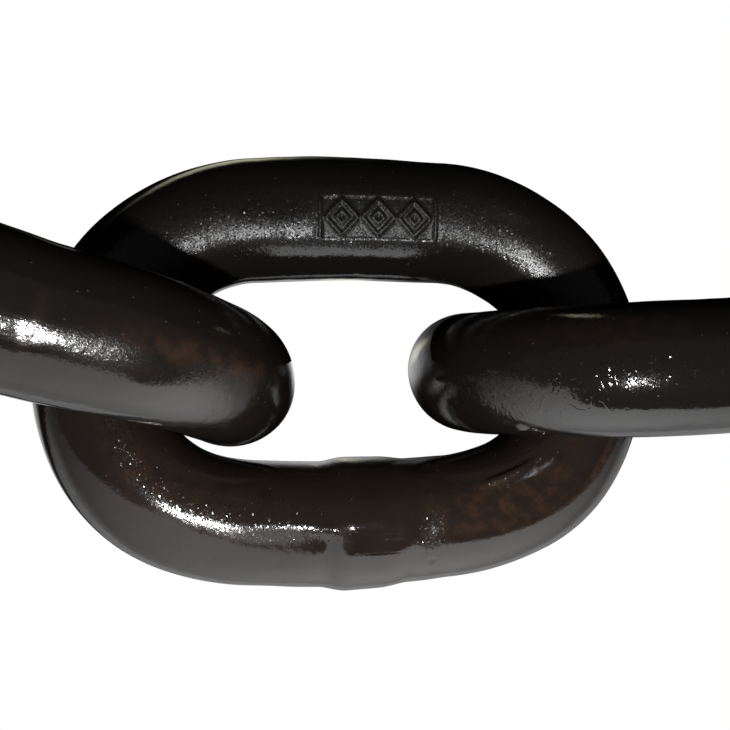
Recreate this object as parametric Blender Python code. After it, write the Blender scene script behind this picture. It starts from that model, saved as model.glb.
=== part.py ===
"""A one metre length of short-link lifting chain, laid in a relaxed curve on a level floor.

Metres, +Z up. The links lie alternately rolled to either side of the run, as a chain dropped flat
does, so each one rests on its lower bar and carries its weld on the upper one. The origin is under
the middle of the whole length, on the floor.
"""

import math

import bpy
import numpy as np
from mathutils import Matrix, Vector

# Driving dimensions, metres and degrees
WIRE = 0.020  # nominal diameter of the round bar
PITCH = 0.060  # inner length of a link, three wire diameters
INNER_WIDTH = 0.0289  # between the two bars of a link
LINKS = 16
WELD_SWELL = 1.07  # radius of the welded zone against the plain bar
WELD_TOP = 0.0075  # length of the swell at its full radius
WELD_SHOULDER = 0.0022  # length of the slope on each side of it
WELD_OFFSET = -0.0016  # the weld's middle along the link, from the link's own middle
CROWN_THINNING = 0.03  # of the radius, at the crown's tip, from the bending of the bar
BEARING_GAP = 0.0001  # air left between two crowns that bear on each other

# How the run lies on the floor, in degrees. A bend is the turn from one link to the next,
# counterclockwise. At a roll of 45 a link leans back, with its weld up and back; at 135 it leans
# forward, with its weld up and forward.
BENDS = (6, 10, 4, -8, -11, -6, -3.5, -22, -5, 9, 14, 7, 3, -8, -12)
FIRST_HEADING = 9  # of the first link from +X
ROLLS = (135, 45, 135, 46, 135, 45, 133, 49, 137, 45, 134, 45, 135, 45, 135, 45)

# Fineness
SIDES = 16
CROWN_POINTS = 8  # an even number, so that one segment lies square across each crown's tip
SAMPLES_PER_SEGMENT = 24  # only for the seating of one link on the next
SEATING_STEPS = (0.0005, 0.00002)  # first the coarse step inwards, then the fine one

# The lacquer
LACQUER_COLOUR = (0.012, 0.009, 0.008, 1.0)
LACQUER_ROUGHNESS = 0.28
LACQUER_METALLIC = 0.1

CROWN_RADIUS = (INNER_WIDTH + WIRE) / 2  # of the wire's centreline at the crown
BAR_HALF = (PITCH + WIRE) / 2 - CROWN_RADIUS  # half the straight length of a bar
FACET = 2 * math.pi / SIDES
# A polygon of this corner radius has the area of the round bar, which keeps the real weight.
CORNER_RADIUS = WIRE / 2 * math.sqrt(FACET / math.sin(FACET))
TURN = math.pi / CROWN_POINTS  # from one crown segment to the next


def clear_scene():
    for obj in list(bpy.data.objects):
        bpy.data.objects.remove(obj, do_unlink=True)


def lacquer():
    material = bpy.data.materials.new("black_lacquer")
    material.use_nodes = True
    shader = next(n for n in material.node_tree.nodes if n.type == "BSDF_PRINCIPLED")
    shader.inputs["Base Color"].default_value = LACQUER_COLOUR
    shader.inputs["Roughness"].default_value = LACQUER_ROUGHNESS
    shader.inputs["Metallic"].default_value = LACQUER_METALLIC
    material.diffuse_color = LACQUER_COLOUR
    return material


def crown(side):
    """Points round one crown. Its segments touch the true arc at their middles, and the first and
    last half-segments run along the bars."""
    radius = CROWN_RADIUS / math.cos(TURN / 2)
    for k in range(CROWN_POINTS):
        angle = -math.pi / 2 + (k + 0.5) * TURN
        thinned = 1 - CROWN_THINNING * math.cos(angle) ** 2
        yield side * (BAR_HALF + radius * math.cos(angle)), side * radius * math.sin(angle), thinned


def weld():
    """Points of the swell on the +Y bar, from +X to -X."""
    outer = WELD_TOP / 2 + WELD_SHOULDER
    for along, swell in (
        (outer, 1.0),
        (WELD_TOP / 2, WELD_SWELL),
        (-WELD_TOP / 2, WELD_SWELL),
        (-outer, 1.0),
    ):
        yield WELD_OFFSET + along, CROWN_RADIUS, swell


def link_path():
    """x, y and radius factor round the closed centreline of a link in its own plane."""
    return [*crown(1), *weld(), *crown(-1)]


def link_curve(material):
    curve = bpy.data.curves.new("link", "CURVE")
    curve.dimensions = "3D"
    curve.twist_mode = "Z_UP"
    curve.bevel_depth = CORNER_RADIUS
    curve.bevel_resolution = (SIDES - 4) // 2
    path = link_path()
    spline = curve.splines.new("POLY")
    spline.points.add(len(path) - 1)
    for point, (x, y, swell) in zip(spline.points, path):
        point.co = (x, y, 0, 1)
        point.radius = swell
        point.tilt = FACET / 2  # a flat, not an edge, faces the link's middle and the floor
    spline.use_cyclic_u = True
    curve.materials.append(material)
    return curve


def centreline():
    """The closed centreline, sampled closely in the link's own frame, and the bar's radius there."""
    corners = np.array([(x, y, 0.0, CORNER_RADIUS * swell) for x, y, swell in link_path()])
    share = np.arange(SAMPLES_PER_SEGMENT)[:, None, None] / SAMPLES_PER_SEGMENT
    runs = corners + share * (np.roll(corners, -1, axis=0) - corners)
    runs = runs.transpose(1, 0, 2).reshape(-1, 4)
    return runs[:, :3], runs[:, 3]


def standing_height(roll):
    """Height of a link's middle over the floor, when its lower bar stands there on a flat or on
    the edge between two flats."""
    off_edge = roll % FACET - FACET / 2
    return CROWN_RADIUS * math.sin(roll) + CORNER_RADIUS * math.cos(off_edge)


def placement(spot, heading, roll):
    """A link's matrix: rolled about its own length, turned to its heading, and standing on the
    floor on its lower bar."""
    roll = math.radians(roll)
    turned = Matrix.Rotation(math.radians(heading), 4, "Z")
    rolled = Matrix.Rotation(roll, 4, "X")
    return Matrix.Translation((*spot, standing_height(roll))) @ turned @ rolled


def air_between(first, second, line, radius):
    """The least gap between two placed links, as round bars."""
    a = line @ np.array(first.to_3x3()).T + np.array(first.translation)
    b = line @ np.array(second.to_3x3()).T + np.array(second.translation)
    return (np.linalg.norm(a[:, None] - b[None], axis=2) - radius[:, None] - radius[None]).min()


def unit(heading):
    return Vector((math.cos(math.radians(heading)), math.sin(math.radians(heading))))


def seated(first, spot, headings, roll, line, radius):
    """The next link's place: moved in along the mean of the two headings, from too far out, until
    its crown clears the crown before it by the bearing gap."""
    mean = (unit(headings[0]) + unit(headings[1])) / 2
    reach = PITCH + WIRE / 4
    for fineness in SEATING_STEPS:
        matrix = placement(spot + reach * mean, headings[1], roll)
        while air_between(first, matrix, line, radius) < BEARING_GAP:
            reach -= fineness
            matrix = placement(spot + reach * mean, headings[1], roll)
        reach += fineness
    reach -= fineness
    return matrix, spot + reach * mean


def laid_out():
    """Every link's matrix, with the whole run's box centred over the origin."""
    line, radius = centreline()
    headings = [FIRST_HEADING + sum(BENDS[:i]) for i in range(LINKS)]
    spot = Vector((0.0, 0.0))
    matrices = [placement(spot, headings[0], ROLLS[0])]
    for i in range(1, LINKS):
        matrix, spot = seated(matrices[-1], spot, headings[i - 1 : i + 1], ROLLS[i], line, radius)
        matrices.append(matrix)
    return matrices


def centre_run(links):
    """Moves the links together so that their box is centred on x = 0, y = 0 and stands on z = 0."""
    bpy.context.view_layer.update()
    graph = bpy.context.evaluated_depsgraph_get()
    low, high = np.full(3, np.inf), np.full(3, -np.inf)
    for link in links:
        mesh = link.evaluated_get(graph).to_mesh()
        points = np.array([link.matrix_world @ v.co for v in mesh.vertices])
        low, high = np.minimum(low, points.min(axis=0)), np.maximum(high, points.max(axis=0))
    shift = Vector((-(low[0] + high[0]) / 2, -(low[1] + high[1]) / 2, -low[2]))
    for link in links:
        link.location += shift


def main():
    clear_scene()
    collection = bpy.data.collections.new("lifting_chain")
    bpy.context.scene.collection.children.link(collection)
    curve = link_curve(lacquer())
    links = []
    for number, matrix in enumerate(laid_out(), start=1):
        link = bpy.data.objects.new(f"link_{number:02d}", curve)
        link.matrix_world = matrix
        collection.objects.link(link)
        links.append(link)
    centre_run(links)


main()
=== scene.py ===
# One metre of short-link lifting chain in black lacquer, lying in a relaxed curve in a white room.
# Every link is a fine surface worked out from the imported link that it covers.

import math

import bpy
import numpy as np
from mathutils import Matrix, Vector


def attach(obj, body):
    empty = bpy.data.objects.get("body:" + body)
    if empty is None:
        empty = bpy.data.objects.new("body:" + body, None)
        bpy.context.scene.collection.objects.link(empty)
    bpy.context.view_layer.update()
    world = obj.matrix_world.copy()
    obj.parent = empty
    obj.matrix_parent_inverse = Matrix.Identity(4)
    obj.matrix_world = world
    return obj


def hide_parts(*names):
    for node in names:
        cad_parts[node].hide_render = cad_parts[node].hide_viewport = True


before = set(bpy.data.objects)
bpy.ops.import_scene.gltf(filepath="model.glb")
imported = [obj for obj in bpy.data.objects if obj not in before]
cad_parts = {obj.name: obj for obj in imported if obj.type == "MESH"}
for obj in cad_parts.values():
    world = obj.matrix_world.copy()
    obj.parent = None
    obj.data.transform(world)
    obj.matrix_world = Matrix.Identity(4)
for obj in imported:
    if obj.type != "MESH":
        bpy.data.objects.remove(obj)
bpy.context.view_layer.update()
mm = 0.001
bpy.context.scene.view_settings.view_transform = "Standard"  # so that white comes out white

steel = {
    "barDiameter": 19.84,
    "pitch": 60.0,
    "innerWidth": 29.06,
    "crownThinning": 0.03,  # share of the radius lost at the crown's tip
    "crownFlat": 0.012,  # how oval the bent crown is
}
barRadius = steel["barDiameter"] / 2
crownRadius = (steel["innerWidth"] + steel["barDiameter"]) / 2
barHalf = (steel["pitch"] + steel["barDiameter"]) / 2 - crownRadius
loopLength = 4 * barHalf + 2 * math.pi * crownRadius


def smooth(low, high, value):
    t = np.clip((value - low) / (high - low), 0, 1)
    return t * t * (3 - 2 * t)


def around(value, whole):
    # the shortest signed way round a loop
    return (value + whole / 2) % whole - whole / 2


def zone(s, turn, place, size):
    # 1 in the middle of an oval patch of the bar, fading to 0 at its rim
    alongShare = around(s - place[0], loopLength) / size[0]
    roundShare = around(turn - place[1], 360) / size[1]
    return np.exp(-((alongShare**2 + roundShare**2) ** 1.6))


def waves(rng, s, turn, count, longest, shortest, sides):
    # a sum of sine waves that close both along the loop and round the bar
    total = np.zeros_like(s)
    for _ in range(count):
        length = longest * (shortest / longest) ** rng.random()
        turns = round(loopLength / length)
        lobes = rng.integers(-sides, sides + 1)
        phase = rng.random() * 2 * math.pi
        total += np.sin(2 * math.pi * turns * s / loopLength + lobes * np.radians(turn) + phase)
    return total / math.sqrt(count / 2)


# Where a link lies: its crowns' points are alike, so the line between their middles is its length,
# and the points left between them belong to the weld.
def linkPlace(node):
    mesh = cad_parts[node].data
    points = np.empty(len(mesh.vertices) * 3, np.float32)
    mesh.vertices.foreach_get("co", points)
    points = np.unique(points.reshape(-1, 3), axis=0).astype(float) / mm
    middle = points.mean(axis=0)
    longWay = np.linalg.svd(points - middle, full_matrices=False)[2][0]
    longWay *= np.sign(longWay[0])
    offset = (points - middle) @ longWay
    ahead, behind = points[offset > barHalf], points[offset < -barHalf]
    tips = ahead.mean(axis=0), behind.mean(axis=0)
    centre = (tips[0] + tips[1]) / 2
    longWay = (tips[0] - tips[1]) / np.linalg.norm(tips[0] - tips[1])
    weldWay = points[np.abs(offset) < barHalf].mean(axis=0) - centre
    weldWay -= (weldWay @ longWay) * longWay
    weldWay /= np.linalg.norm(weldWay)
    return centre, np.array([longWay, weldWay, np.cross(longWay, weldWay)])


# The middle line of the bar: straight, half a turn of the crown, straight, half a turn. s is 0 at
# the middle of the welded bar and grows towards the link ahead.
def middleLine(s):
    way = np.sign(s)
    t = np.abs(s)
    bend = np.clip((t - barHalf) / crownRadius, 0, math.pi)
    back = np.clip(t - barHalf - math.pi * crownRadius, 0, barHalf)
    x = way * (np.minimum(t, barHalf) - back + crownRadius * np.sin(bend))
    y = crownRadius * np.cos(bend)
    outward = np.stack([way * np.sin(bend), np.cos(bend), np.zeros_like(s)], axis=-1)
    return np.stack([x, y, np.zeros_like(s)], axis=-1), outward, np.sin(bend)


weldForm = {
    "rise": 0.62,
    "ownRise": {"link_09": 0.08},
    "lean": 0.030,  # how much the top climbs along the bar, mm for each mm
    "left": 3.3,  # where the swell ends towards the link ahead
    "right": -6.2,  # and where its other end is
    "slant": 1.9,  # the other end leans this much, most at slantTurn degrees
    "slantTurn": 95,
    "leftSlope": 4.8,
    "rightSlope": 4.6,
    "raggedness": (0.22, 0.25),  # of the left end and of the right end, mm
    "raggedWaves": (7, 9, 3, 9),  # count, longest, shortest and sides, as waves() takes them
    "jitter": 0.25,
    "lipRise": 0.020,
    "ownLipRise": {"link_09": 0.035},
    "lipWidth": 0.80,
    "lipPlaces": (-0.3, 0.5),  # from the left end and from the right end
    "lipStrength": (0.6, 0.4),  # the steady part and the part that comes and goes
    "lipWaves": (5, 9, 3, 6),
    "grooves": (61, 83, 102),  # how many of each kind would go round the bar
    "grooveDepth": 0.011,
    "grooveDrift": 0.08,
    "grooved": ((-3.5, 80), (6.0, 17)),
}


def weldRelief(rng, node, s, turn):
    # a plateau with two sloped ends, a ragged lip on each end, and grooves left by the trimming
    form = weldForm
    ragged = waves(rng, 0 * s, turn, *form["raggedWaves"]) * form["raggedness"][0]
    left = form["left"] + ragged + rng.normal(0, form["jitter"])
    slant = form["slant"] * np.cos(np.radians(turn - form["slantTurn"]))
    ragged = waves(rng, 0 * s, turn, *form["raggedWaves"]) * form["raggedness"][1]
    right = form["right"] - slant + ragged
    top = smooth(right - form["rightSlope"] / 2, right + form["rightSlope"] / 2, s)
    top = top * (1 - smooth(left - form["leftSlope"] / 2, left + form["leftSlope"] / 2, s))
    lips = 0
    steady, varied = form["lipStrength"]
    for edge in (left + form["lipPlaces"][0], right + form["lipPlaces"][1]):
        strength = steady + varied * waves(rng, 0 * s, turn, *form["lipWaves"])
        lips = lips + strength * np.exp(-(((s - edge) / form["lipWidth"]) ** 2))
    grooves = 0
    for count in form["grooves"]:
        phase = rng.random() * 2 * math.pi
        grooves = grooves + np.sin(count * np.radians(turn) + phase + form["grooveDrift"] * s)
    grooves = grooves * zone(s, turn, *form["grooved"]) * top
    rise = form["ownRise"].get(node, form["rise"]) + form["lean"] * (s - (form["left"] + form["right"]) / 2)
    lipRise = form["ownLipRise"].get(node, form["lipRise"])
    return rise * top + lipRise * lips - form["grooveDepth"] * grooves, top, lips


stampForm = {
    "middle": (111.5, 99.5),  # along the loop in mm, and round the bar in degrees
    "half": (9.9, 3.45),  # mm
    "depth": 0.22,
    "edge": 0.42,
    "line": 0.37,
    "ridge": 0.42,
    "barInset": 0.75,
    "sideRoom": 1.3,
    "diamonds": 3,
    "diamondHalf": (2.55, 2.75),
    "innerSize": 0.36,  # of the diamond inside each one, as a share
    "slope": 0.72,  # how steeply the distance from a diamond's sides grows, as a share
}


def stampRelief(s, turn):
    # a shallow field with a bar at each end, and three plain diamonds, each one inside another
    form = stampForm
    u = around(s - form["middle"][0], loopLength)
    v = np.radians(around(turn - form["middle"][1], 360)) * barRadius
    inside = smooth(0, form["edge"], form["half"][0] - np.abs(u))
    inside = inside * smooth(0, form["edge"], form["half"][1] - np.abs(v))

    def line(distance):
        return np.exp(-((distance / form["line"]) ** 2))

    ridges = line(np.abs(u) - form["half"][0] + form["barInset"])
    step = 2 * (form["half"][0] - form["sideRoom"]) / form["diamonds"]
    for k in range(form["diamonds"]):
        du = np.abs(u - (k - (form["diamonds"] - 1) / 2) * step) / form["diamondHalf"][0]
        dv = np.abs(v) / form["diamondHalf"][1]
        for size in (1, form["innerSize"]):
            ridges = np.maximum(ridges, line((du + dv - size) * form["diamondHalf"][0] * form["slope"]))
    return inside * (form["ridge"] * ridges - form["depth"]), inside


# What each link shows apart from its form, in patches, each one ((along mm, round degrees),
# (half length mm, half width degrees), strength): the steel's grain, single glints, brown where the
# lacquer is thin, rust under it, and wrinkles.
patches = {
    "link_07": {
        "grain": [((20, -6), (14, 16), 0.16), ((36, 20), (10, 40), 0.15)],
        "glitter": [((18, 1), (20, 20), 0.9), ((33, -12), (12, 16), 0.5)],
        "warm": [((40, 0), (16, 80), 0.45), ((18, 0), (30, 60), 0.25)],
        "rust": [((26, 40), (10, 20), 0.2)],
        "wrinkle": [((31, -28), (8, 18), 1.0), ((24, -8), (6, 12), 0.7)],
    },
    "link_08": {
        "grain": [((107.9, 96), (62, 30), 1.0), ((-26, 116), (9, 6), 0.45), ((-11, 92), (2.4, 32), 0.55),
                  ((24, 101), (14, 7), 0.28), ((14, 84), (7, 9), 0.7), ((-30, 100), (30, 40), 0.15)],
        "glitter": [((28, 104), (24, 15), 1.2), ((-24, 113), (10, 8), 1.0), ((-11, 90), (3, 26), 1.2),
                    ((107.9, 92), (60, 40), 0.5), ((10, 86), (9, 8), 1.0)],
        "warm": [((0, 95), (75, 80), 1.0)],
        "rust": [((-24, 94), (14, 26), 1.0), ((30, 98), (16, 24), 0.5), ((-40, 66), (7, 4), 2.0)],
        "wrinkle": [((6, 85), (6, 8), 0.4)],
    },
    "link_09": {
        "grain": [((-15, -12), (8, 16), 0.62), ((-24, -2), (10, 20), 0.6)],
        "glitter": [((-16, -10), (9, 12), 0.10)],
        "warm": [((-20, 0), (30, 90), 0.45)],
        "rust": [((-23, 0), (9, 9), 0.8), ((-29, 5), (5, 8), 0.7)],
        "wrinkle": [((-20, -22), (8, 6), 0.4)],
    },
}

# How many patches any other link has of each kind, and how long they are in mm
ownPatchSizes = {"grain": (3, 34), "glitter": (5, 16), "warm": (3, 40), "rust": (6, 12), "wrinkle": (4, 8)}
ownPatchHalfTurn = 50


def ownPatches(rng):
    # patches for a link that no picture shows
    shown = {}
    for kind, (count, length) in ownPatchSizes.items():
        shown[kind] = []
        for _ in range(count):
            place = rng.uniform(-loopLength / 2, loopLength / 2), rng.uniform(-180, 180)
            size = length * rng.uniform(0.6, 1.4), ownPatchHalfTurn
            shown[kind].append((place, size, rng.uniform(0.4, 1)))
    return shown


# Dents and lumps: ((along mm, round degrees), (half length mm, half width degrees), height in mm)
marks = {
    "link_07": [((33, -44), (5, 12), -0.05), ((50, -75), (10, 60), 0.4), ((35.5, -57), (0.8, 4), 0.42)],
    "link_08": [
        ((-11.1, 53), (0.45, 2.8), -0.30),
        ((-10.4, 44), (0.5, 2.4), -0.10),
        ((-26, 119), (5.5, 4.0), 0.50),
        ((5.2, 87), (1.3, 7.0), 0.15),
        ((-10, 135), (1.6, 9), 0.16),
        ((44, 112), (2.6, 2.2), 0.20),
        ((20, 5), (9, 60), -0.28),
        ((-21, 9), (9, 60), -0.28),
        ((108, 15), (12, 50), 0.15),
        ((98, 15), (8, 50), 0.28),
        ((17, 88), (8, 40), -0.30),
        ((36, 84), (7, 40), 0.30),
        ((88, 104), (8, 26), 0.25),
        ((72, 104), (6, 26), -0.25),
    ],
    "link_09": [
        ((-2, -14), (5, 10), -0.12), ((-48, -75), (16, 90), 0.60), ((-38, 60), (7, 40), 0.40),
        ((-2, 0), (22, 400), 0.45),
    ],
}

# Where the bar's middle line strays: ((along mm, half length mm), outward mm, sideways mm)
bends = {
    "link_07": [((8, 26), 0, -0.55), ((52, 10), 0.1, -0.25)],
    "link_08": [
        ((108, 12), 0.42, 0), ((79, 10), -0.50, 0), ((-80, 10), -0.40, 0), ((-21, 10), -0.60, 0),
        ((19, 9), -0.50, -0.40), ((39, 8), 0.25, 0.50),
    ],
    "link_09": [((-43, 12), 0.25, -0.30), ((-6, 14), 0, -0.45), ((-16, 12), 0.35, 0)],
}

# Any other link strays outward by about this much, in mm, at these places along it
ownBends = ((108, 0.30), (81, -0.35), (-80, -0.35), (20, -0.40), (-21, -0.45))
ownBendSpread = {"along": 2, "half": (8, 12), "share": (0.4, 1.0), "sideways": 0.12}

# Ledges, where the bent bar is not quite round: ((along mm, round degrees), (half length mm, half
# width degrees), half width of the step in degrees, height in mm)
ledges = {
    "link_08": [
        ((26, 92), (12, 45), 11, 0.17), ((11, 85), (7, 24), 6, 0.33), ((-1.5, 86), (4.2, 30), 7, 0.26),
        ((98, 104), (9, 30), 14, 0.20), ((-74, 106), (8, 30), 14, -0.20), ((-87, 102), (6, 30), 14, 0.15),
    ],
}

# Rings along each link and places round it, and where they are closer together
fineness = {
    "seen": {"link_07": (400, 128), "link_08": (640, 148), "link_09": (400, 128)},
    "other": (264, 80),
    "weld": (-2, 8),
    "stamp": (stampForm["middle"][0], 12),
    "stampedSide": (95, 50),
    "gain": (1.6, 1.2),  # along the link and round it
}

wear = {
    "swell": (0.030, (12, 60, 14, 3)),  # height in mm, then what waves() takes
    "ripple": (0.007, (30, 12, 4, 12)),
    "pits": 26,
    "pitHalf": (0.35, 0.9),  # least and most, mm
    "pitDepth": (0.02, 0.07),
    "pitTurn": 5.7,  # degrees round the bar for each mm
    "stampGrain": 0.25,
    "lipGrain": 0.15,
    "lipWarm": 0.7,
    "mostGrain": 1.4,
}


def spread(count, whole, dense, gain):
    # places round a loop, closer together near each of the dense places
    fine = np.linspace(-0.5, 0.5, 4001) * whole
    weight = np.ones_like(fine)
    for middle, half in dense:
        weight += gain * np.exp(-((around(fine - middle, whole) / half) ** 4))
    total = np.cumsum(weight)
    total = (total - total[0]) / (total[-1] - total[0])
    return np.interp(np.arange(count) / count, total, fine)


# The surface of a link: out from the middle line by the bar's radius and its relief, on a grid of
# rings along the loop and places round the bar.
def linkSurface(node, number):
    rng = np.random.default_rng(100 + number)
    rings, sides = fineness["seen"].get(node, fineness["other"])
    stamped = node == "link_08"
    denseRings = [fineness["weld"], fineness["stamp"]] if stamped else [fineness["weld"]]
    denseSides = [fineness["stampedSide"]] if stamped else []
    s = spread(rings, loopLength, denseRings, fineness["gain"][0])
    turn = spread(sides, 360, denseSides, fineness["gain"][1])
    s, turn = np.meshgrid(s, turn, indexing="ij")
    line, outward, crown = middleLine(s)
    straying = bends.get(node)
    if straying is None:
        straying = []
        for place, amount in ownBends:
            where = place + rng.normal(0, ownBendSpread["along"]), rng.uniform(*ownBendSpread["half"])
            out = amount * rng.uniform(*ownBendSpread["share"])
            straying.append((where, out, rng.normal(0, ownBendSpread["sideways"])))
    for (place, half), out, side in straying:
        amount = np.exp(-((around(s - place, loopLength) / half) ** 2))[..., None]
        line = line + amount * (out * outward + side * np.array([0, 0, 1.0]))

    ovalness = 1 + steel["crownFlat"] * crown * np.cos(2 * np.radians(turn))
    radius = barRadius * (1 - steel["crownThinning"] * crown**2) * ovalness
    for height, form in (wear["swell"], wear["ripple"]):
        radius += height * waves(rng, s, turn, *form)
    weld, onWeld, lips = weldRelief(rng, node, s, turn)
    radius += weld
    inStamp = np.zeros_like(s)
    if stamped:
        stamp, inStamp = stampRelief(s, turn)
        radius += stamp
    for place, size, height in marks.get(node, []):
        radius += height * zone(s, turn, place, size)
    for place, size, steep, height in ledges.get(node, []):
        radius += height * zone(s, turn, place, size) * np.tanh(around(turn - place[1], 360) / steep)
    for _ in range(wear["pits"]):
        place = rng.uniform(-loopLength / 2, loopLength / 2), rng.uniform(-180, 180)
        half = rng.uniform(*wear["pitHalf"])
        radius -= rng.uniform(*wear["pitDepth"]) * zone(s, turn, place, (half, half * wear["pitTurn"]))

    shown = patches.get(node) or ownPatches(rng)
    paint = {}
    for kind, listed in shown.items():
        amount = np.zeros_like(s)
        for place, size, strength in listed:
            amount = np.maximum(amount, strength * zone(s, turn, place, size))
        paint[kind] = amount
    lips = np.clip(lips, 0, 1)
    grain = paint["grain"] + wear["stampGrain"] * inStamp + wear["lipGrain"] * lips
    paint["grain"] = np.clip(grain, 0, wear["mostGrain"])
    paint["warm"] = paint["warm"] + wear["lipWarm"] * lips
    paint["weld"] = onWeld

    centre, axes = linkPlace(node)
    way = np.cos(np.radians(turn))[..., None] * outward
    way = way + np.sin(np.radians(turn))[..., None] * np.array([0, 0, 1.0])
    points = centre + (line + radius[..., None] * way) @ axes
    unrolled = np.stack([s, barRadius * np.cos(np.radians(turn)), barRadius * np.sin(np.radians(turn))], -1)
    return points * mm, paint, unrolled


# A closed grid of quads, with the painted amounts kept on its points.
def gridObject(name, points, paint, unrolled):
    rings, sides = points.shape[:2]
    index = np.arange(rings * sides).reshape(rings, sides)
    ahead, beside = np.roll(index, -1, axis=0), np.roll(index, -1, axis=1)
    quads = np.stack([index, beside, np.roll(ahead, -1, axis=1), ahead], axis=-1).reshape(-1, 4)
    mesh = bpy.data.meshes.new(name)
    mesh.vertices.add(rings * sides)
    mesh.vertices.foreach_set("co", points.reshape(-1).astype(np.float32))
    mesh.loops.add(quads.size)
    mesh.loops.foreach_set("vertex_index", quads.reshape(-1).astype(np.int32))
    mesh.polygons.add(len(quads))
    mesh.polygons.foreach_set("loop_start", np.arange(0, quads.size, 4, dtype=np.int32))
    mesh.update(calc_edges=True)
    for kind, amount in paint.items():
        layer = mesh.attributes.new(kind, "FLOAT", "POINT")
        layer.data.foreach_set("value", amount.reshape(-1).astype(np.float32))
    layer = mesh.attributes.new("unrolled", "FLOAT_VECTOR", "POINT")
    layer.data.foreach_set("vector", unrolled.reshape(-1).astype(np.float32))
    mesh.shade_smooth()
    piece = bpy.data.objects.new(name, mesh)
    bpy.context.scene.collection.objects.link(piece)
    return piece


# Wraps a socket, so that shader maths reads as a Python expression.
class Wire:
    def __init__(self, tree, end=None):
        self.tree, self.end = tree, end

    def add(self, kind, settings=None, sockets=None, out=0):
        node = self.tree.nodes.new(kind)
        for name, value in (settings or {}).items():
            setattr(node, name, value)
        for name, value in (sockets or {}).items():
            if isinstance(value, Wire):
                self.tree.links.new(value.end, node.inputs[name])
            else:
                node.inputs[name].default_value = value
        return Wire(self.tree, node.outputs[out])

    def maths(self, operation, *values, clamp=False):
        settings = {"operation": operation, "use_clamp": clamp}
        return self.add("ShaderNodeMath", settings, dict(enumerate(values)))

    def __add__(self, other):
        return self.maths("ADD", self, other)

    def __sub__(self, other):
        return self.maths("SUBTRACT", self, other)

    def __rsub__(self, other):
        return self.maths("SUBTRACT", other, self)

    def __mul__(self, other):
        return self.maths("MULTIPLY", self, other)

    def __pow__(self, other):
        return self.maths("POWER", self, other)

    __radd__, __rmul__ = __add__, __mul__

    def step(self, low, high):
        # 0 below low, 1 above high
        sockets = {"Value": self, "From Min": low, "From Max": high}
        return self.add("ShaderNodeMapRange", {"interpolation_type": "SMOOTHSTEP"}, sockets)

    def mix(self, first, second):
        # first where this is 0, second where it is 1
        node = self.tree.nodes.new("ShaderNodeMix")
        node.data_type = "RGBA"
        for socket, value in ((node.inputs[0], self), (node.inputs[6], first), (node.inputs[7], second)):
            if isinstance(value, Wire):
                self.tree.links.new(value.end, socket)
            else:
                socket.default_value = value
        return Wire(self.tree, node.outputs[2])


lacquerLook = {
    "black": (0.0118, 0.0108, 0.0102, 1),
    "brown": (0.0290, 0.0200, 0.0160, 1),
    "rust": (0.0680, 0.0360, 0.0200, 1),
    "calmRoughness": 0.10,
    "grainRoughness": 0.36,
    "ior": 1.52,
    "calmGrain": 0.010,  # height of the finest grain where the lacquer is thick, mm
    "coarseGrain": 0.045,  # and where the steel's grain shows through, mm
    "orangePeel": 0.055,
    "grainTilt": 0.15,  # how far the grain's facets lean, as a share of the normal
    "glintTilt": 1.00,
    "glintRarity": 5,  # the higher, the fewer glints lean far
    "wrinkle": 0.025,  # height, mm
    "wrinkleWidth": 0.03,
    "trimLines": 0.014,  # height, mm
    "dust": (0.120, 0.112, 0.100, 1),
    "dustSize": (0.05, 0.13),
    "dustRarity": (0.70, 0.80),
    "dustStrength": 0.7,
    "rustEdge": (0.38, 0.70),
    # how many features of each kind there are in a mm
    "cloudScale": 0.10,
    "blotchScale": 0.38,
    "fineScale": 3.0,
    "peelScale": 0.42,
    "creaseScale": 0.24,
    "streakScale": 1.3,
    "streakStretch": (0.10, 1.5, 1.5),  # along the bar, and round it
    "facetScale": 4.3,
    "dustScale": 0.75,
}


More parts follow.
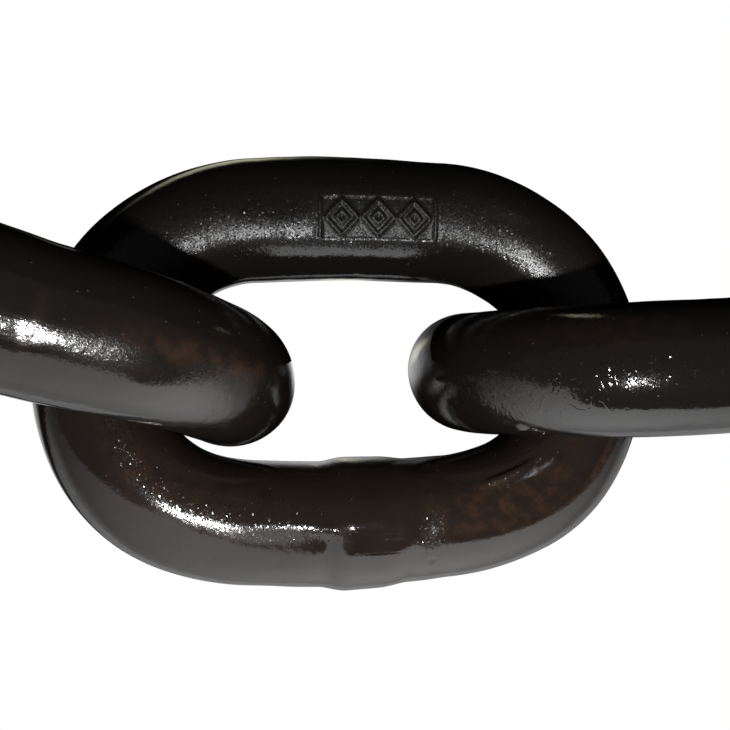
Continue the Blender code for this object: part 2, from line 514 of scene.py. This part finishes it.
def lacquer():
    look = lacquerLook
    material = bpy.data.materials.new("black_lacquer")
    material.use_nodes = True
    tree = material.node_tree
    shader = next(n for n in tree.nodes if n.type == "BSDF_PRINCIPLED")
    start = Wire(tree)
    place = start.add("ShaderNodeTexCoord", out="Object")
    place = place.add("ShaderNodeVectorMath", {"operation": "SCALE"}, {0: place, "Scale": 1 / mm})
    unrolled = start.add("ShaderNodeAttribute", {"attribute_name": "unrolled"}, out="Vector")
    grain, glitter, warm, rust, wrinkle, weld = (
        start.add("ShaderNodeAttribute", {"attribute_name": kind}, out="Fac")
        for kind in ("grain", "glitter", "warm", "rust", "wrinkle", "weld")
    )

    def noise(scale, detail=2.0, rough=0.5, where=place):
        sockets = {"Vector": where, "Scale": scale, "Detail": detail, "Roughness": rough}
        return start.add("ShaderNodeTexNoise", {}, sockets)

    cloud = noise(look["cloudScale"], 3)
    blotch = noise(look["blotchScale"], 4, 0.62)
    fine = noise(look["fineScale"], 2, 0.6)
    peel = noise(look["peelScale"])
    along = {0: unrolled, 1: look["streakStretch"]}
    along = start.add("ShaderNodeVectorMath", {"operation": "MULTIPLY"}, along)
    streak = noise(look["streakScale"], 3, 0.6, along)

    coarse = grain * (0.55 + 0.9 * cloud)
    height = (look["calmGrain"] + coarse * (look["coarseGrain"] - look["calmGrain"])) * fine
    height = height + look["orangePeel"] * peel
    crease = noise(look["creaseScale"]) - 0.5
    crease = 1 - crease.maths("ABSOLUTE", crease).step(0.0, look["wrinkleWidth"])
    height = height + look["wrinkle"] * wrinkle * crease
    height = height + look["trimLines"] * weld * streak
    bump = start.add("ShaderNodeBump", {}, {"Height": height, "Distance": mm, "Strength": 1.0})

    # the grain's facets: every small cell of the surface leans its own way, a few of them far
    sockets = {"Vector": place, "Scale": look["facetScale"]}
    facets = start.add("ShaderNodeTexVoronoi", {}, sockets, out="Color")
    cell = Wire(tree, facets.end.node.outputs["Position"])
    chance = start.add("ShaderNodeTexWhiteNoise", {}, {"Vector": cell}, out="Value")
    lean = look["grainTilt"] * coarse + look["glintTilt"] * glitter * chance ** look["glintRarity"]
    facets = start.add("ShaderNodeVectorMath", {"operation": "SUBTRACT"}, {0: facets, 1: (0.5, 0.5, 0.5)})
    facets = start.add("ShaderNodeVectorMath", {"operation": "SCALE"}, {0: facets, "Scale": lean})
    normal = start.add("ShaderNodeVectorMath", {"operation": "ADD"}, {0: bump, 1: facets})
    normal = start.add("ShaderNodeVectorMath", {"operation": "NORMALIZE"}, {0: normal})

    thin = warm * (0.45 + 1.1 * cloud)
    thin = thin.maths("MINIMUM", thin, 1.0)
    under = rust * (0.10 + 1.1 * blotch.step(*look["rustEdge"]))
    under = under.maths("MINIMUM", under, 1.0)
    colour = under.mix(thin.mix(look["black"], look["brown"]), look["rust"])
    sockets = {"Vector": place, "Scale": look["dustScale"]}
    specks = start.add("ShaderNodeTexVoronoi", {}, sockets, out="Distance")
    cell = Wire(tree, specks.end.node.outputs["Color"])
    chance = start.add("ShaderNodeSeparateColor", {}, {0: cell})
    specks = (1 - specks.step(*look["dustSize"])) * chance.step(*look["dustRarity"])
    colour = (specks * look["dustStrength"]).mix(colour, look["dust"])
    rough = look["calmRoughness"] + coarse * (look["grainRoughness"] - look["calmRoughness"])

    tree.links.new(colour.end, shader.inputs["Base Color"])
    tree.links.new(rough.end, shader.inputs["Roughness"])
    tree.links.new(normal.end, shader.inputs["Normal"])
    shader.inputs["IOR"].default_value = look["ior"]
    shader.inputs["Metallic"].default_value = 0.0
    return material


print("links")
finish = lacquer()
links = sorted(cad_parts)
otherLinks = bpy.data.collections.new("other_links")
for number, node in enumerate(links, start=1):
    piece = gridObject(f"{node}_surface", *linkSurface(node, number))
    piece.data.materials.append(finish)
    if node not in fineness["seen"]:
        otherLinks.objects.link(piece)
    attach(piece, node)
    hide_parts(node)

print("studio")
studio = {
    "sky": 0.05,
    "cardHeight": 0.120,
    "cardEdge": (0.070, 0.036),  # the card's front edge on either side of the step
    "cardStep": (-0.035, 0.002),
    "cardRadius": 0.75,  # the card's back is a half circle, with a wall under it down to the floor
    "cardRest": 0.15,
    "cardBackGlow": 0.42,
    "cardBack": (0.10, 0.35),
    "cardGlow": 2.0,
    "cardCentre": (-0.062, 0.10),
    "cardFade": (0.10, 0.125),
    "wallGlow": 0.75,
    "wallShare": 0.35,  # the wall's light at its front ends, as a share
    "wallBack": (0.10, 0.50),
    "groundFar": 0.50,
    "groundBack": (0.17, 0.24),
    "groundSide": ((0.11, 0.17), (0.10, 0.15)),
    "groundReach": (1.2, -0.6, 1.2),  # to either side, in front and behind
    "groundDrop": 0.001,
    "groundLightPools": (((0.052, 0.112), (0.038, 0.032), 0.9), ((-0.031, 0.083), (0.020, 0.016), 1.0)),
    "goldLightPools": (((-0.009, 0.0326), (0.016, 0.0018), 1.4), ((-0.0365, 0.073), (0.005, 0.009), 1.0)),
    "gold": (1.0, 0.98, 0.72, 1),
    # black sheets by the middle link, which only the lacquer mirrors: painted dark reflections on the bars
    # near them
    # its ends in x, then two edges in (y, z): an upright one, and a level one
    "darkReflectionSheets": (
        ((-0.070, 0.004), (0.0500, 0.0188), (0.0500, 0.0335)),
        ((-0.026, 0.006), (0.0200, 0.0180), (0.0345, 0.0180)),
    ),
    # the ends of a small warm glowing sheet that link_07 mirrors in its upper edge, a painted highlight
    # there
    "warmSheet": ((-0.0600, 0.0284, 0.020), (-0.0655, 0.0190, 0.020)),
    "warmSheetHalf": 0.0015,
    "warmSheetRoom": (2, 3),  # how far past its light the sheet reaches, along and across
    "warmSheetGlow": 1.5,
    "lampPlace": (-0.027, -0.065, 0.280),
    "lampAim": (-0.030, 0.045, 0.040),
    "lampSize": 0.016,
    "lampPower": 0.47,
    # place, size and glow of each soft panel round the other links
    "panels": (
        ((0.0, 0.35, 0.60), (1.3, 0.30), 2.2),
        ((0.0, -0.45, 0.55), (1.2, 0.10), 7.0),
        ((0.90, 0.0, 0.40), (0.10, 0.60), 5.0),
        ((-0.90, 0.0, 0.40), (0.10, 0.60), 5.0),
        ((0.0, 0.70, 0.25), (1.4, 0.12), 5.0),
    ),
}


def glowing(name, build):
    material = bpy.data.materials.new(name)
    material.use_nodes = True
    tree = material.node_tree
    tree.nodes.clear()
    start = Wire(tree)
    output = tree.nodes.new("ShaderNodeOutputMaterial")
    tree.links.new(build(start).end, output.inputs["Surface"])
    return material


def stageMesh(name, points, faces, material):
    mesh = bpy.data.meshes.new(name)
    mesh.from_pydata(points, [], faces)
    mesh.materials.append(material)
    piece = bpy.data.objects.new(name, mesh)
    bpy.context.scene.collection.objects.link(piece)
    return piece


def split(place):
    parts = place.add("ShaderNodeSeparateXYZ", {}, {0: place})
    return [Wire(parts.tree, parts.end.node.outputs[axis]) for axis in "XYZ"]


# The light card: a sheet over and behind the chain, brightest over the middle link, and the wall
# under its back edge.
def cardLook(start):
    x, y, z = split(start.add("ShaderNodeTexCoord", out="Object"))
    farX = (x - studio["cardCentre"][0]) * (1 / studio["cardFade"][0])
    farY = (y - studio["cardCentre"][1]) * (1 / studio["cardFade"][1])
    near = (1 + farX * farX) ** -1 * (1 + farY * farY) ** -1
    top = studio["cardRest"] + studio["cardBackGlow"] * y.step(*studio["cardBack"])
    top = top + studio["cardGlow"] * near
    share = studio["wallShare"]
    wall = studio["wallGlow"] * (share + (1 - share) * y.step(*studio["wallBack"]))
    isTop = z.step(studio["cardHeight"] - 0.002, studio["cardHeight"] - 0.001)
    glow = wall + isTop * (top - wall)
    return start.add("ShaderNodeEmission", {}, {"Color": (1, 1, 1, 1), "Strength": glow})


count = 241
angle = np.linspace(0, math.pi, count)
backX, backY = -studio["cardRadius"] * np.cos(angle), studio["cardRadius"] * np.sin(angle)
edgeX = backX
edgeShare = smooth(studio["cardStep"][0], studio["cardStep"][1], edgeX)
edgeY = studio["cardEdge"][0] + edgeShare * (studio["cardEdge"][1] - studio["cardEdge"][0])
rows = [
    [(x, y, studio["cardHeight"]) for x, y in zip(edgeX, edgeY)],
    [(x, max(y, edge), studio["cardHeight"]) for x, y, edge in zip(backX, backY, edgeY)],
    [(x, max(y, edge), 0) for x, y, edge in zip(backX, backY, edgeY)],
]
cardFaces = [
    (row * count + i, (row + 1) * count + i, (row + 1) * count + i + 1, row * count + i + 1)
    for row in range(2)
    for i in range(count - 1)
]
card = stageMesh("light_card", sum(rows, []), cardFaces, glowing("card_glow", cardLook))
card.visible_camera = card.visible_shadow = card.visible_diffuse = False


# What the lacquer mirrors of the ground, a glowing sheet that only the lacquer sees: a painted reflection
# of a lit floor, light behind the chain, dark in front of it, and a few painted pools of light close by,
# some of them warm.
def groundLook(start):
    x, y, _ = split(start.add("ShaderNodeTexCoord", out="Object"))

    def patch(middle, half):
        u, v = (x - middle[0]) * (1 / half[0]), (y - middle[1]) * (1 / half[1])
        away = u * u + v * v
        return (1 + away * away) ** -2

    sideX, sideY = studio["groundSide"]
    sidePart = (0 - x).step(*sideX) * y.step(*sideY)
    backPart = y.step(*studio["groundBack"])
    plain = studio["groundFar"] * backPart.maths("MAXIMUM", backPart, sidePart)
    # painted pools of light on the mirrored ground, and warm ones below
    for middle, half, strength in studio["groundLightPools"]:
        plain = plain + strength * patch(middle, half)
    warm = 0
    for middle, half, strength in studio["goldLightPools"]:
        warm = warm + strength * patch(middle, half)
    plain = start.add("ShaderNodeEmission", {}, {"Color": (1, 1, 1, 1), "Strength": plain})
    warm = start.add("ShaderNodeEmission", {}, {"Color": studio["gold"], "Strength": warm})
    return start.add("ShaderNodeAddShader", {}, {0: plain, 1: warm})


side, front, behind = studio["groundReach"]
low = -studio["groundDrop"]
corners = [(-side, front, low), (side, front, low), (side, behind, low), (-side, behind, low)]
ground = stageMesh("ground", corners, [(0, 1, 2, 3)], glowing("ground_glow", groundLook))
ground.visible_camera = ground.visible_diffuse = ground.visible_shadow = False


def blackLook(start):
    return start.add("ShaderNodeEmission", {}, {"Color": (0, 0, 0, 1), "Strength": 0.0})


# The black sheets and the warm sheet, which only the lacquer mirrors: the black ones paint dark
# reflections, the warm one a painted highlight.
darkReflectionBlack = glowing("dark_reflection_black", blackLook)
for number, ((left, right), near, away) in enumerate(studio["darkReflectionSheets"], start=1):
    corners = [(left, *near), (right, *near), (right, *away), (left, *away)]
    flag = stageMesh(f"flag_{number}", corners, [(0, 1, 2, 3)], darkReflectionBlack)
    flag.visible_camera = flag.visible_diffuse = flag.visible_shadow = False

ends = [Vector(end) for end in studio["warmSheet"]]
sheetMiddle = (ends[0] + ends[1]) / 2
sheetLong = (ends[1] - ends[0]) / 2
sheetWide = Vector((-sheetLong.y, sheetLong.x, 0)).normalized() * studio["warmSheetHalf"]


# the warm sheet's glow, brightest in its middle: a painted highlight on link_07's upper edge
def highlightSheetLook(start):
    x, y, _ = split(start.add("ShaderNodeTexCoord", out="Object"))
    x, y = x - sheetMiddle.x, y - sheetMiddle.y
    away = 0
    for way in (sheetLong, sheetWide):
        share = x * (way.x / way.length_squared) + y * (way.y / way.length_squared)
        away = away + share * share
    glow = studio["warmSheetGlow"] * (1 + away * away) ** -2
    return start.add("ShaderNodeEmission", {}, {"Color": studio["gold"], "Strength": glow})


along, across = studio["warmSheetRoom"]
corners = [
    sheetMiddle + along * a * sheetLong + across * b * sheetWide
    for a, b in ((-1, -1), (1, -1), (1, 1), (-1, 1))
]
sheet = stageMesh("highlight_sheet", corners, [(0, 1, 2, 3)], glowing("highlight_glow", highlightSheetLook))
sheet.visible_camera = sheet.visible_diffuse = sheet.visible_shadow = False

lamp = bpy.data.lights.new("lamp", "AREA")
lamp.shape = "DISK"
lamp.size = studio["lampSize"]
lamp.energy = studio["lampPower"]
lampObject = bpy.data.objects.new("lamp", lamp)
lampObject.location = studio["lampPlace"]
aim = Vector(studio["lampAim"]) - Vector(studio["lampPlace"])
lampObject.rotation_euler = aim.to_track_quat("-Z", "Y").to_euler()
bpy.context.scene.collection.objects.link(lampObject)
lampObject.visible_camera = False

# Soft panels that light only the links that the main view doesn't show.
for number, (place, size, glow) in enumerate(studio["panels"], start=1):
    panel = bpy.data.lights.new(f"panel_{number}", "AREA")
    panel.shape = "RECTANGLE"
    panel.size, panel.size_y = size
    panel.energy = glow * math.pi * size[0] * size[1]
    panelObject = bpy.data.objects.new(f"panel_{number}", panel)
    panelObject.location = place
    panelObject.rotation_euler = (-Vector(place)).to_track_quat("-Z", "Y").to_euler()
    bpy.context.scene.collection.objects.link(panelObject)
    panelObject.visible_camera = False
    panelObject.light_linking.receiver_collection = otherLinks


# The room: plain white to the camera, and nearly dark to the chain.
world = bpy.data.worlds.new("room")
world.use_nodes = True
bpy.context.scene.world = world
tree = world.node_tree
tree.nodes.clear()
start = Wire(tree)
soft = start.add("ShaderNodeBackground", {}, {"Color": (1, 1, 1, 1), "Strength": studio["sky"]})
white = start.add("ShaderNodeBackground", {}, {"Color": (1, 1, 1, 1), "Strength": 1.0})
seen = start.add("ShaderNodeLightPath", out="Is Camera Ray")
both = start.add("ShaderNodeMixShader", {}, {0: seen, 1: soft, 2: white})
tree.links.new(both.end, tree.nodes.new("ShaderNodeOutputWorld").inputs["Surface"])

print("camera")
cameraPlace = {
    "focalLength": 50.49,
    "azimuth": 13.28,  # from the middle link's front, degrees
    "elevation": 44.72,
    "roll": 169.85,
    "distance": 0.16657,
    "slideRight": 0.00259,
    "slideUp": 0.00095,
}
centre, axes = linkPlace("link_08")
heading = math.atan2(axes[0][1], axes[0][0])
azimuth, elevation = math.radians(cameraPlace["azimuth"]) + heading, math.radians(cameraPlace["elevation"])
back = Vector((math.sin(azimuth), -math.cos(azimuth), math.tan(elevation))).normalized()
level = Vector((math.cos(azimuth), math.sin(azimuth), 0))
roll = math.radians(cameraPlace["roll"])
right = math.cos(roll) * level + math.sin(roll) * back.cross(level)
up = back.cross(right)
camera = bpy.data.objects.new("camera", bpy.data.cameras.new("camera"))
camera.data.lens = cameraPlace["focalLength"]
camera.data.clip_start = 0.01
camera.matrix_world = Matrix.Translation(
    Vector(centre) * mm
    + cameraPlace["distance"] * back
    + cameraPlace["slideRight"] * right
    + cameraPlace["slideUp"] * up
) @ Matrix((right, up, back)).transposed().to_4x4()
bpy.context.scene.collection.objects.link(camera)
bpy.context.scene.camera = camera
